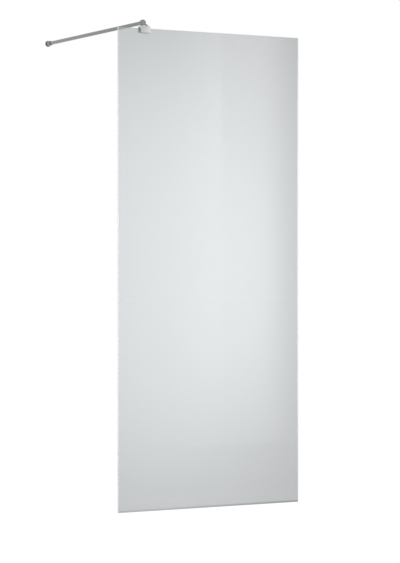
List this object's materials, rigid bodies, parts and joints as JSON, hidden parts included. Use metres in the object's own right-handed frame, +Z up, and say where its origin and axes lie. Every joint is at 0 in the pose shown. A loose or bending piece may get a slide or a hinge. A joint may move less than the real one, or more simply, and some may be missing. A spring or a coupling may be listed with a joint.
{
  "type": "shower screen",
  "caption": "Fixed walk-in shower screen: a tall frameless glass panel whose free top corner is steadied by a round bar from a swivelling edge clamp to a wall socket.",
  "frame": {"origin": "middle of the glass panel's bottom edge, half way through its thickness", "axes": "+X along the glass towards the wall edge, +Y through the glass towards the wall behind that holds the bar, +Z up"},
  "size_m": [0.87, 0.9315, 2.0359],
  "materials": {
    "glass": "toughened, polished",
    "clamp_metal": "satin chrome",
    "head_metal": "satin chrome",
    "bar_metal": "satin",
    "socket_metal": "satin chrome",
    "steel": "plain",
    "aluminium": "turned",
    "liner": "clear soft plastic",
    "nylon": "natural nylon",
    "rubber": "matt"
  },
  "bodies": {
    "screen": {"glass_panel": "glass"},
    "clamp": {"clamp_foot": "clamp_metal", "front_pad": "liner", "back_pad": "liner", "pressure_plate": "steel", "edge_block": "nylon", "clamp_screws": "steel", "pivot_bush": "nylon", "pivot_washer": "steel"},
    "bar": {"pivot_screw": "steel", "swivel_head": "head_metal", "head_cap": "head_metal", "bar_screw": "steel", "bar_plug": "aluminium", "support_bar": "bar_metal"},
    "wall_socket": {"wall_hub": "socket_metal", "hub_screw": "steel", "wall_washer": "liner"},
    "rose": {"wall_rose": "socket_metal", "rose_ring": "rubber"}
  },
  "joints": [
    {"name": "clamp_slide", "type": "slide", "parent": "screen", "child": "clamp", "axis": [1, 0, 0], "range_m": [-0.09, 0.35]},
    {"name": "bar_swivel", "type": "hinge", "parent": "clamp", "child": "bar", "pos_m": [-0.325, -0.01075, 2], "axis": [0, 0, 1], "range_deg": [-30, 30]},
    {"name": "socket_slide", "type": "slide", "parent": "bar", "child": "wall_socket", "axis": [0, 1, 0], "range_m": [-0.01, 0.006]},
    {"name": "rose_slide", "type": "slide", "parent": "wall_socket", "child": "rose", "axis": [0, 1, 0], "range_m": [-0.018, 0]}
  ]
}
